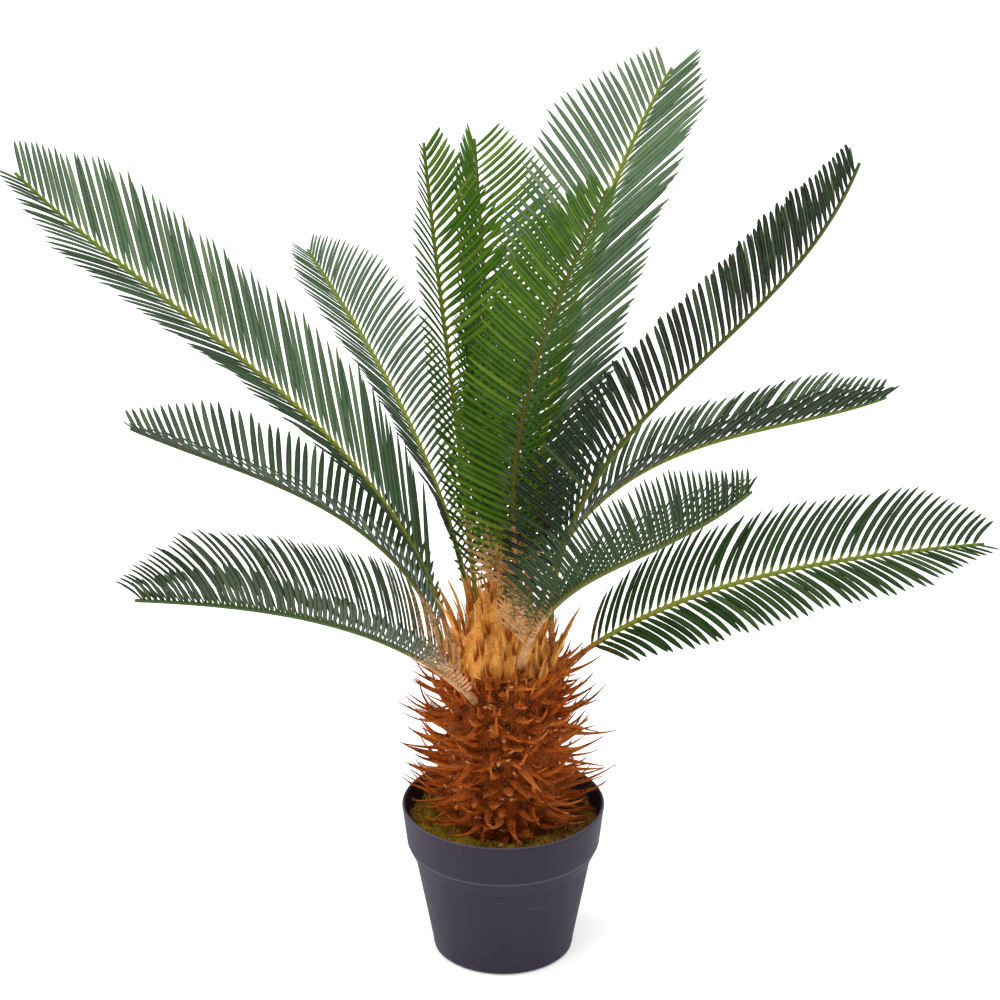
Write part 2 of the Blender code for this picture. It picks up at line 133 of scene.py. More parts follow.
def bumped(nodes, links, shader, height, strength, distance):
    """Raise the surface by a height, through a bump that feeds the shader's normal."""
    bump = nodes.new("ShaderNodeBump")
    bump.inputs["Strength"].default_value = strength
    bump.inputs["Distance"].default_value = distance
    links.new(height, bump.inputs["Height"])
    links.new(bump.outputs["Normal"], shader.inputs["Normal"])


def pot_plastic():
    """Matt slate plastic: a fine pale grain, a painted highlight along the lip and the band's lower edge,
    and faint slanting scratches.
    """
    finish, nodes, links, shader = new_finish("slate pot plastic", 0.62, 0.22)
    place = nodes.new("ShaderNodeTexCoord").outputs["Object"]
    clouds = noise(nodes, links, place, 26, 3)
    grain = noise(nodes, links, place, 1700, 2)
    scratches = noise(nodes, links, place, 240, 2, (0.05, 1.0, 1.0), (0.0, 0.45, 0.0))
    colour = mixed(nodes, links, ranged(nodes, links, clouds, 0.3, 0.7),
                   paint(34, 29, 44), paint(41, 36, 53))
    colour = mixed(nodes, links, ranged(nodes, links, grain, 0.54, 0.76, 0, 0.5),
                   colour, paint(70, 66, 80))
    colour = mixed(nodes, links, ranged(nodes, links, scratches, 0.68, 0.76, 0, 0.3),
                   colour, paint(84, 80, 95))
    split = nodes.new("ShaderNodeSeparateXYZ")
    links.new(place, split.inputs["Vector"])
    # Painted highlights: a paler band along the lower edge of the deep band and along the top of the lip,
    # where the light catches them
    for low, high in POT_HIGHLIGHT_BANDS:
        middle = (low + high) / 2
        under = ranged(nodes, links, split.outputs["Z"], low, middle)
        over = ranged(nodes, links, split.outputs["Z"], middle, high, 1.0, 0.0)
        painted_highlight = nodes.new("ShaderNodeMath")
        painted_highlight.operation = "MINIMUM"
        links.new(under, painted_highlight.inputs[0])
        links.new(over, painted_highlight.inputs[1])
        share = ranged(nodes, links, painted_highlight.outputs[0], 0.0, 1.0, 0.0, 0.6)
        colour = mixed(nodes, links, share, colour, paint(86, 82, 96))
    links.new(colour, shader.inputs["Base Color"])
    links.new(ranged(nodes, links, clouds, 0.3, 0.7, 0.56, 0.68), shader.inputs["Roughness"])
    bumped(nodes, links, shader, grain, 0.4, 0.0003)
    return finish


pot = turned_shell("nursery_pot", POT_SIDES, POT_OUTLINE)
pot.data.materials.append(pot_plastic())
bpy.ops.object.shade_smooth_by_angle(angle=math.radians(40))
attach(pot, "root")
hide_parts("pot")


# The moss bed
# Preserved moss glued over a foam plug that fills the pot to about two centimetres below
# the rim, yellow-green at the front left and brown at the right, and uneven by hand.
MOSS_TOP = 0.1166
MOSS_RINGS = (0.0745, 0.0725, 0.0700, 0.0675, 0.0650, 0.0625, 0.0600, 0.0575, 0.0550, 0.0525,
              0.0500, 0.0470, 0.0440, 0.0400)
MOSS_OUTLINE = (
    (0.0505, 0.0066), (0.0552, 0.0110), (0.0700, 0.0842), (0.0762, 0.0975), (0.0782, 0.1100),
    (0.0791, 0.1146), (0.0780, 0.1158), (0.0765, 0.1163),
    *((radius, MOSS_TOP) for radius in MOSS_RINGS),
)
LUMPY_FROM = 0.1150
MOSS_REACH = (0.045, 0.0775)
LOOK_DOWN_FROM = 0.2
GREENEST_TURN = math.radians(238)
MOSS_CLUMPS = 1500
MOSS_SPIKES = 9
dice = np.random.default_rng(27)

Pattern = namedtuple("Pattern", "points faces rows row_of uv")


def pointed_pattern(name, sides, rows):
    """Model one pointed shape that stands on its foot, one long, and read it as a pattern.

    Each row is (height, width, depth); the last row's height is where it closes to a point.
    """
    bpy.ops.object.select_all(action="DESELECT")
    height, width, depth = rows[0]
    bpy.ops.mesh.primitive_circle_add(vertices=sides, radius=0.5, location=(0, 0, height))
    shape = bpy.context.object
    shape.name = name
    bpy.ops.object.transform_apply(location=True, rotation=False, scale=False)
    bpy.ops.object.mode_set(mode="EDIT")
    bpy.ops.mesh.select_all(action="SELECT")
    bpy.ops.transform.resize(value=(width, depth, 1), center_override=(0, 0, height))
    bpy.ops.mesh.edge_face_add()
    for (height, width, depth), (top, wide, deep) in zip(rows, rows[1:]):
        bpy.ops.mesh.extrude_region_move(TRANSFORM_OT_translate={"value": (0, 0, top - height)})
        if wide > 0:
            bpy.ops.transform.resize(value=(wide / width, deep / depth, 1), center_override=(0, 0, top))
        else:
            bpy.ops.mesh.merge(type="CENTER")
    bpy.ops.mesh.select_all(action="SELECT")
    bpy.ops.mesh.normals_make_consistent(inside=False)
    bpy.ops.object.mode_set(mode="OBJECT")
    points = np.array([v.co[:] for v in shape.data.vertices])
    faces = [tuple(face.vertices) for face in shape.data.polygons]
    heights, row_of = np.unique(np.round(points[:, 2], 5), return_inverse=True)
    widest = np.array([np.abs(points[row_of == row, 0]).max() for row in range(len(heights))])
    across = 0.5 + 0.5 * points[:, 0] / np.maximum(widest[row_of], 1e-6)
    uv = np.stack([across, points[:, 2]], axis=1)
    bpy.data.objects.remove(shape, do_unlink=True)
    return Pattern(points, faces, heights, row_of, uv)


def unit(vectors):
    return vectors / np.maximum(np.linalg.norm(vectors, axis=-1, keepdims=True), 1e-9)


def bent_lines(starts, ways, lengths, rows):
    """Lines from starts that take each of their small steps a given way, read at the rows."""
    steps = ways.shape[1]
    walked = np.concatenate([np.zeros_like(ways[:, :1]), np.cumsum(ways, axis=1)], axis=1) / steps
    place = np.clip(rows, 0, 1) * steps
    low = np.minimum(place.astype(int), steps - 1)
    part = (place - low)[None, :, None]
    shape = walked[:, low] * (1 - part) + walked[:, low + 1] * part
    return starts[:, None] + shape * lengths[:, None, None]


def laid_copies(name, pattern, lines, sideways, widths, depths, shades):
    """Bend copies of a pattern along their lines and join them into one mesh."""
    forward = unit(np.gradient(lines, axis=1))
    edge = unit(sideways[:, None] - forward * np.sum(forward * sideways[:, None], axis=2, keepdims=True))
    rise = np.cross(forward, edge)
    index = pattern.row_of
    x = pattern.points[None, :, 0, None] * widths[:, None, None]
    y = pattern.points[None, :, 1, None] * depths[:, None, None]
    places = lines[:, index] + edge[:, index] * x + rise[:, index] * y
    copies, count = places.shape[:2]
    faces = [tuple(i + k * count for i in face) for k in range(copies) for face in pattern.faces]
    mesh = bpy.data.meshes.new(name)
    mesh.from_pydata(places.reshape(-1, 3).tolist(), [], faces)
    corners = np.empty(len(mesh.loops), dtype=np.int32)
    mesh.loops.foreach_get("vertex_index", corners)
    uv = mesh.uv_layers.new(name="shape")
    uv.data.foreach_set("uv", np.tile(pattern.uv, (copies, 1))[corners].astype(np.float32).ravel())
    shade = mesh.attributes.new("shade", "FLOAT", "POINT")
    shade.data.foreach_set("value", np.repeat(shades, count).astype(np.float32))
    piece = bpy.data.objects.new(name, mesh)
    bpy.context.scene.collection.objects.link(piece)
    return piece


def smooth(piece, angle):
    bpy.ops.object.select_all(action="DESELECT")
    bpy.context.view_layer.objects.active = piece
    piece.select_set(True)
    bpy.ops.object.shade_smooth_by_angle(angle=math.radians(angle))


def moss_finish(name, dark, body, light):
    finish, nodes, links, shader = new_finish(name, 0.92, 0.2)
    place = nodes.new("ShaderNodeTexCoord").outputs["Object"]
    patches = noise(nodes, links, place, 90, 3)
    grain = noise(nodes, links, place, 900, 2)
    colour = mixed(nodes, links, ranged(nodes, links, patches, 0.32, 0.62), dark, body)
    colour = mixed(nodes, links, ranged(nodes, links, grain, 0.5, 0.75), colour, light)
    links.new(colour, shader.inputs["Base Color"])
    bumped(nodes, links, shader, grain, 0.6, 0.0012)
    return finish


moss_bed = turned_shell("moss_bed_top", POT_SIDES, MOSS_OUTLINE)
lumps = bpy.data.textures.new("moss lumps", "CLOUDS")
lumps.noise_scale = 0.011
lumps.noise_depth = 2
group = moss_bed.vertex_groups.new(name="top")
group.add([v.index for v in moss_bed.data.vertices if v.co.z > LUMPY_FROM], 1.0, "REPLACE")
swell = moss_bed.modifiers.new("lumps", "DISPLACE")
swell.texture = lumps
swell.texture_coords = "LOCAL"
swell.direction = "Z"
swell.mid_level = 0.35
swell.strength = 0.0085
swell.vertex_group = "top"
bpy.context.view_layer.objects.active = moss_bed
bpy.ops.object.modifier_apply(modifier=swell.name)
moss_bed.data.materials.append(
    moss_finish("moss ground", paint(74, 49, 15), paint(130, 92, 30), paint(168, 138, 56)))
smooth(moss_bed, 60)
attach(moss_bed, "root")
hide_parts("moss_bed")


def moss_sprigs(name, clumps, finish):
    """Little clumps of spikes that lean out from the middle of each clump."""
    spike = pointed_pattern("moss spike", 3, ((0, 1.0, 1.0), (0.45, 1.25, 1.0), (1, 0, 0)))
    count = len(clumps) * MOSS_SPIKES
    middle = np.repeat(clumps, MOSS_SPIKES, axis=0)
    turn = dice.uniform(0, 2 * math.pi, count)
    lean = dice.uniform(0.15, 1.25, count)
    out = np.stack([np.cos(turn), np.sin(turn), np.zeros(count)], axis=1)
    up = np.array([0, 0, 1.0])
    starts = middle + out * dice.uniform(0, 0.0016, count)[:, None] - up * 0.001
    ways = unit(out * np.sin(lean)[:, None] + up * np.cos(lean)[:, None])[:, None].repeat(4, axis=1)
    lines = bent_lines(starts, ways, dice.uniform(0.0028, 0.0062, count), spike.rows)
    sideways = np.stack([-np.sin(turn), np.cos(turn), np.zeros(count)], axis=1)
    piece = laid_copies(name, spike, lines, sideways, dice.uniform(0.0007, 0.0012, count),
                        dice.uniform(0.0006, 0.0009, count), dice.uniform(0, 1, count))
    piece.data.materials.append(finish)
    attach(piece, "root")


turn = dice.uniform(0, 2 * math.pi, MOSS_CLUMPS)
reach = np.sqrt(dice.uniform(MOSS_REACH[0] ** 2, MOSS_REACH[1] ** 2, MOSS_CLUMPS))
bed = np.stack([reach * np.cos(turn), reach * np.sin(turn), np.zeros(MOSS_CLUMPS)], axis=1)
for clump in bed:
    above = Vector((clump[0], clump[1], LOOK_DOWN_FROM))
    clump[2] = moss_bed.ray_cast(above, Vector((0, 0, -1)))[1].z
green_side = np.cos(turn - GREENEST_TURN) + dice.normal(0, 0.45, MOSS_CLUMPS) > 0.15
moss_sprigs("moss_green", bed[green_side],
            moss_finish("green moss", paint(124, 98, 16), paint(190, 160, 38), paint(234, 208, 96)))
moss_sprigs("moss_brown", bed[~green_side],
            moss_finish("brown moss", paint(98, 60, 22), paint(154, 103, 46), paint(192, 148, 88)))


# The trunk
# A foam core wrapped in torn leaf bases: a spiral of thin spines that hook upwards and short
# frayed stubs between them, all sprayed with rust-brown flock that leaves their tips bare.
CORE_SIDES = 72
CORE_FOOT = 0.1163
CORE_FOOT_RADIUS = 0.0440
CORE_FULL_LEVEL = 0.134
CORE_RADIUS = 0.0475
CORE_TOP = 0.342
CORE_ROWS = 31
CORE_INSET = 0.001
CROWN_HEIGHTS = (0.235, 0.255, 0.275, 0.295, 0.315, 0.332, 0.343)
CROWN_RADII = (0.0475, 0.0460, 0.0410, 0.0340, 0.0260, 0.0160, 0.0)
SKIN_HEIGHTS = (0.12, 0.14)
SKIN_RADII = (0.0445, 0.0470)
ROOT_INSET = 0.0035
FOOT_GAP = 0.003
GOLD_LEVEL = 0.264
SPINE_COUNT = 300
STUB_COUNT = 150
SPINE_BOTTOM = 0.1225
SPINE_TOP = 0.270
GOLDEN_TURN = math.radians(137.508)
RIM_LEVEL = 0.140
RIM_REACH = 0.0795
FRONT_SIDE = -0.55
FRONT_SPINE_SHARE = 0.50
HOOK_STEPS = 14


def flock_group():
    """The sprayed flock: uneven patches, dark hollows and pale grains."""
    group = bpy.data.node_groups.new("sprayed flock", "ShaderNodeTree")
    for name, kind in (("Place", "Vector"), ("Deep", "Color"), ("Body", "Color"), ("Pale", "Color")):
        group.interface.new_socket(name=name, in_out="INPUT", socket_type="NodeSocket" + kind)
    group.interface.new_socket(name="Colour", in_out="OUTPUT", socket_type="NodeSocketColor")
    group.interface.new_socket(name="Height", in_out="OUTPUT", socket_type="NodeSocketFloat")
    nodes, links = group.nodes, group.links
    given = nodes.new("NodeGroupInput")
    out = nodes.new("NodeGroupOutput")
    patches = noise(nodes, links, given.outputs["Place"], 110, 4)
    grain = noise(nodes, links, given.outputs["Place"], 900, 3)
    colour = mixed(nodes, links, ranged(nodes, links, patches, 0.34, 0.60),
                   given.outputs["Deep"], given.outputs["Body"])
    colour = mixed(nodes, links, ranged(nodes, links, grain, 0.50, 0.70), colour, given.outputs["Pale"])
    links.new(colour, out.inputs["Colour"])
    links.new(grain, out.inputs["Height"])
    return group


flock = flock_group()


def placed_flock(nodes, links, deep, body, pale):
    """Place the flock in a material and give it its own colours."""
    node = nodes.new("ShaderNodeGroup")
    node.node_tree = flock
    links.new(nodes.new("ShaderNodeTexCoord").outputs["Object"], node.inputs["Place"])
    node.inputs["Deep"].default_value = deep
    node.inputs["Body"].default_value = body
    node.inputs["Pale"].default_value = pale
    return node.outputs["Colour"], node.outputs["Height"]


def soft_sheen(shader, colour):
    shader.inputs["Sheen Weight"].default_value = 0.3
    shader.inputs["Sheen Roughness"].default_value = 0.5
    shader.inputs["Sheen Tint"].default_value = colour


def named_layer(nodes, name):
    layer = nodes.new("ShaderNodeAttribute")
    layer.attribute_name = name
    return layer.outputs["Fac"]


def flocked(name, deep, body, pale, tip=None, tip_start=0.8, foot=None):
    """A flocked finish; a piece's bare tip and its foot are read from the place along it."""
    finish, nodes, links, shader = new_finish(name, 0.95, 0.12)
    soft_sheen(shader, body)
    colour, height = placed_flock(nodes, links, deep, body, pale)
    shade = ranged(nodes, links, named_layer(nodes, "shade"), 0.45, 1, 0, 0.55)
    colour = mixed(nodes, links, shade, colour, pale)
    if tip:
        uv = nodes.new("ShaderNodeUVMap")
        uv.uv_map = "shape"
        split = nodes.new("ShaderNodeSeparateXYZ")
        links.new(uv.outputs["UV"], split.inputs["Vector"])
        bare = ranged(nodes, links, split.outputs["Y"], tip_start, tip_start + 0.14)
        colour = mixed(nodes, links, bare, colour, tip)
        if foot:
            low = ranged(nodes, links, split.outputs["Y"], 0.50, 0.12)
            colour = mixed(nodes, links, low, colour, foot)
    links.new(colour, shader.inputs["Base Color"])
    bumped(nodes, links, shader, height, 0.5, 0.0007)
    return finish


RUST = (paint(108, 42, 5), paint(164, 78, 17), paint(198, 116, 50))
GOLD = (paint(182, 110, 38), paint(212, 146, 66), paint(230, 176, 100))


def crown_radius(height):
    return np.interp(height, CROWN_HEIGHTS, CROWN_RADII)


def trunk_radius(height):
    """The core's radius, a little inside its skin, where a spine or a stub is rooted."""
    skin = np.interp(height, [*SKIN_HEIGHTS, *CROWN_HEIGHTS], [*SKIN_RADII, *CROWN_RADII])
    return skin - ROOT_INSET


def core_outline():
    """The core's (radius, height) points, a little inside its solid, from foot to top."""
    heights = np.linspace(CORE_FOOT, CORE_TOP, CORE_ROWS)
    radii = np.interp(heights, [CORE_FOOT, CORE_FULL_LEVEL, *CROWN_HEIGHTS],
                      [CORE_FOOT_RADIUS, CORE_RADIUS, *CROWN_RADII])
    return [(max(radius - CORE_INSET, 0.001), height) for radius, height in zip(radii, heights)]


def node_corners(name):
    """The corners of a solid of the frame, each once."""
    return np.unique(np.round([v.co[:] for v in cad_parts[name].data.vertices], 6), axis=0)


def foot_of(name, heading, height):
    """Where a solid blade leaves the trunk: the middle of the four corners of its foot."""
    angle = math.radians(heading)
    radius = crown_radius(height) + FOOT_GAP
    guess = np.array([radius * math.cos(angle), radius * math.sin(angle), height])
    corners = node_corners(name)
    nearest = np.argsort(np.linalg.norm(corners - guess, axis=1))[:4]
    return corners[nearest].mean(axis=0)


def hooked_lines(start, heading, swerve, first_rise, last_rise, length, rows):
    """Lines that leave on a heading and hook from one rise to another, swerving sideways."""
    steps = (np.arange(HOOK_STEPS) + 0.5) / HOOK_STEPS
    turn = heading[:, None] + swerve[:, None] * steps
    rise = first_rise[:, None] + (last_rise - first_rise)[:, None] * steps
    ways = np.stack([np.cos(rise) * np.cos(turn), np.cos(rise) * np.sin(turn), np.sin(rise)], axis=2)
    return bent_lines(start, ways, length, rows)


def around(radius, turn, height):
    return np.stack([radius * np.cos(turn), radius * np.sin(turn), height], axis=1)


def level_across(turn):
    return np.stack([-np.sin(turn), np.cos(turn), np.zeros(len(turn))], axis=1)


core = turned_shell("trunk_core", CORE_SIDES, core_outline())
rough = bpy.data.textures.new("foam lumps", "CLOUDS")
rough.noise_scale = 0.007
rough.noise_depth = 3
swell = core.modifiers.new("foam lumps", "DISPLACE")
swell.texture = rough
swell.texture_coords = "LOCAL"
swell.mid_level = 0.6
swell.strength = 0.006
bpy.context.view_layer.objects.active = core
bpy.ops.object.modifier_apply(modifier=swell.name)
core.data.materials.append(
    flocked("rust flock, core", paint(56, 20, 3), paint(116, 50, 10), paint(170, 92, 36)))
core.data.materials.append(flocked("golden flock, core", *GOLD))
# The order of the faces varies from run to run, and the ragged edge of the gold with it
for face in core.data.polygons:
    face.material_index = int(face.center.z + dice.normal(0, 0.003) > GOLD_LEVEL)
smooth(core, 60)
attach(core, "root")
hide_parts("trunk")

spine_shape = pointed_pattern("spine", 6, (
    (0.0, 1.00, 1.00), (0.10, 0.92, 0.92), (0.22, 0.70, 0.74), (0.36, 0.50, 0.54), (0.50, 0.36, 0.40),
    (0.66, 0.25, 0.28), (0.82, 0.16, 0.18), (0.93, 0.09, 0.10), (1.0, 0, 0)))
order = np.arange(SPINE_COUNT)
turn = order * GOLDEN_TURN + dice.normal(0, 0.12, SPINE_COUNT)
height = SPINE_BOTTOM + (SPINE_TOP - SPINE_BOTTOM) * order / SPINE_COUNT
height = height + dice.normal(0, 0.002, SPINE_COUNT)
share = (height - SPINE_BOTTOM) / (SPINE_TOP - SPINE_BOTTOM)
length = dice.normal(0.043, 0.006, SPINE_COUNT) - 0.010 * np.maximum(0, share - 0.7) / 0.3
first_rise = np.radians(-10 + 30 * share + dice.normal(0, 10, SPINE_COUNT))
last_rise = first_rise + np.radians(dice.normal(38, 18, SPINE_COUNT))
heading = turn + dice.normal(0, 0.18, SPINE_COUNT)
swerve = dice.normal(0, 0.45, SPINE_COUNT)
tip_level = height + length * np.sin((first_rise + last_rise) / 2)
low = tip_level < RIM_LEVEL
length = np.where(low, np.minimum(length, RIM_REACH - CORE_FOOT_RADIUS), length)
facing = np.sin(turn) < FRONT_SIDE
length = np.where(low & facing, length * FRONT_SPINE_SHARE, length)
lines = hooked_lines(around(trunk_radius(height), turn, height), heading, swerve, first_rise, last_rise,
                     length, spine_shape.rows)
spines = laid_copies("trunk_spines", spine_shape, lines, level_across(heading),
                     dice.normal(0.0088, 0.0012, SPINE_COUNT), dice.normal(0.0062, 0.0008, SPINE_COUNT),
                     dice.uniform(0, 1, SPINE_COUNT))
spines.data.materials.append(flocked("rust flock, spines", *RUST, paint(92, 52, 28), 0.78))
smooth(spines, 60)
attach(spines, "root")

# The short frayed stubs between the spines, with pale torn ends
stub_shape = pointed_pattern("torn stub", 5, (
    (0.0, 1.00, 1.00), (0.30, 0.92, 0.86), (0.62, 0.72, 0.62), (0.86, 0.52, 0.38), (0.97, 0.30, 0.2),
    (1.0, 0, 0)))
turn = dice.uniform(0, 2 * math.pi, STUB_COUNT)
height = dice.uniform(SPINE_BOTTOM - 0.002, SPINE_TOP, STUB_COUNT)
first_rise = np.radians(dice.normal(6, 26, STUB_COUNT))
last_rise = first_rise + np.radians(dice.normal(24, 24, STUB_COUNT))
heading = turn + dice.normal(0, 0.5, STUB_COUNT)
swerve = dice.normal(0, 0.9, STUB_COUNT)
length = dice.uniform(0.010, 0.021, STUB_COUNT)
lines = hooked_lines(around(trunk_radius(height), turn, height), heading, swerve, first_rise, last_rise,
                     length, stub_shape.rows)
stubs = laid_copies("trunk_stubs", stub_shape, lines, level_across(heading),
                    dice.uniform(0.0036, 0.0066, STUB_COUNT), dice.uniform(0.0024, 0.0044, STUB_COUNT),
                    dice.uniform(0, 1, STUB_COUNT))
stubs.data.materials.append(flocked("rust flock, stubs", *RUST, paint(206, 140, 92), 0.70))
smooth(stubs, 60)
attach(stubs, "root")

# The loose fibres of the flock, which stand off the spines and blur their edges
FUZZ_COUNT = 20000
FUZZ_WIDTH = 0.00034
HAIR_COUNT = 1500
HAIR_WIDTH = 0.00030
CROWN_FUZZ_COUNT = 6500
fibre_shape = pointed_pattern("fibre", 3, ((0, 1, 1), (0.5, 0.8, 0.8), (1, 0, 0)))


def fibres_on(name, pieces, count, lengths, thick, stray, finish):
    """Loose fibres rooted on the faces of some pieces, each bent a little as it stands out.

    They are dealt out by the order of the faces, which varies from run to run, so single
    fibres lie elsewhere in another run while their number and spread stay the same.
    """
    corners = []
    for piece in pieces:
        mesh = piece.data
        mesh.calc_loop_triangles()
        triangles = np.array([t.vertices[:] for t in mesh.loop_triangles])
        corners.append(np.array([v.co[:] for v in mesh.vertices])[triangles])
    corners = np.concatenate(corners)
    normals = np.cross(corners[:, 1] - corners[:, 0], corners[:, 2] - corners[:, 0])
    areas = np.linalg.norm(normals, axis=1)
    picked = dice.choice(len(corners), count, p=areas / areas.sum())
    blend = dice.dirichlet((1, 1, 1), count)
    roots = np.einsum("ij,ijk->ik", blend, corners[picked])
    outward = unit(roots * np.array([1.0, 1.0, 0.0]))
    way = unit(0.7 * unit(normals[picked]) + 0.5 * outward + dice.normal(0, stray, (count, 3)))
    bend = dice.normal(0, 1.4 * stray, (count, 3))
    ways = unit(way[:, None] + bend[:, None] * np.linspace(0, 1, 4)[None, :, None])
    lines = bent_lines(roots - way * 0.0004, ways, dice.uniform(*lengths, count), fibre_shape.rows)
    piece = laid_copies(name, fibre_shape, lines, np.roll(way, 1, axis=1), np.full(count, thick),
                        np.full(count, thick), dice.uniform(0, 1, count))
    piece.data.materials.append(finish)
    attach(piece, "root")
    return piece


fuzz = fibres_on("trunk_fuzz", (spines, stubs, core), FUZZ_COUNT, (0.0012, 0.0036), FUZZ_WIDTH, 0.6,
                 flocked("rust flock, fuzz", paint(112, 46, 6), paint(168, 84, 22), paint(206, 128, 60)))
hairs = fibres_on("trunk_hairs", (spines, stubs), HAIR_COUNT, (0.004, 0.010), HAIR_WIDTH, 0.5,
                  flocked("rust flock, hairs", paint(112, 50, 12), paint(176, 98, 38),
                          paint(220, 156, 96)))


# The crown bracts
# Long pointed bud scales of soft plastic between the frond feet, ten of them broad, all
# dusted with golden flock and pressed into the top of the foam core.
Bract = namedtuple("Bract", "heading foot rise length")
BRACTS = (
    Bract(-96, 0.262, 82, 0.052), Bract(-118, 0.286, 78, 0.056), Bract(212, 0.284, 66, 0.062),
    Bract(-82, 0.300, 84, 0.046), Bract(-32, 0.262, 70, 0.050), Bract(12, 0.264, 66, 0.052),
    Bract(44, 0.268, 70, 0.054), Bract(73, 0.284, 72, 0.052), Bract(148, 0.272, 66, 0.054),
    Bract(196, 0.300, 74, 0.050),
)
SMALL_BRACTS = 150
BRACT_WIDTH = 0.0086
BRACT_DEPTH_SHARE = 0.34
BRACT_LEAN = (10, -12)
bract_shape = pointed_pattern("bract", 6, (
    (0.0, 0.34, 0.6), (0.10, 0.72, 0.9), (0.30, 1.00, 0.9), (0.52, 0.82, 0.8), (0.68, 0.56, 0.7),
    (0.82, 0.33, 0.55), (0.93, 0.15, 0.4), (1.0, 0, 0)))
feet = [foot_of(f"bract_{number}", bract.heading, bract.foot) for number, bract in enumerate(BRACTS, 1)]
small_height = dice.uniform(0.246, 0.336, SMALL_BRACTS)
small_turn = dice.uniform(0, 2 * math.pi, SMALL_BRACTS)
small_feet = around(crown_radius(small_height) - 0.002, small_turn, small_height)
starts = np.concatenate([np.array(feet), small_feet])
heading = np.concatenate([np.radians([bract.heading for bract in BRACTS]), small_turn])
lean = np.concatenate([[bract.rise for bract in BRACTS], dice.uniform(66, 92, SMALL_BRACTS)])
length = np.concatenate([[bract.length for bract in BRACTS], dice.uniform(0.020, 0.050, SMALL_BRACTS)])
width = np.concatenate([np.full(len(BRACTS), BRACT_WIDTH), dice.uniform(0.0022, 0.0046, SMALL_BRACTS)])
swerve = np.concatenate([np.zeros(len(BRACTS)), dice.normal(0, 0.5, SMALL_BRACTS)])
lines = hooked_lines(starts, heading, swerve, np.radians(lean + BRACT_LEAN[0]),
                     np.radians(lean + BRACT_LEAN[1]), length, bract_shape.rows)
bracts = laid_copies("crown_bracts", bract_shape, lines, level_across(heading), width,
                     width * BRACT_DEPTH_SHARE, dice.uniform(0, 1, len(heading)))
bracts.data.materials.append(
    flocked("golden flock, bracts", *GOLD, paint(206, 166, 92), 0.86, paint(132, 60, 13)))
smooth(bracts, 60)
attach(bracts, "root")
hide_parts(*[f"bract_{number}" for number in range(1, len(BRACTS) + 1)])
down = fibres_on("crown_fuzz", (bracts,), CROWN_FUZZ_COUNT, (0.0008, 0.0026), FUZZ_WIDTH, 0.6,
                 flocked("golden flock, fuzz", paint(188, 112, 40), paint(222, 156, 74),
                         paint(242, 198, 128)))
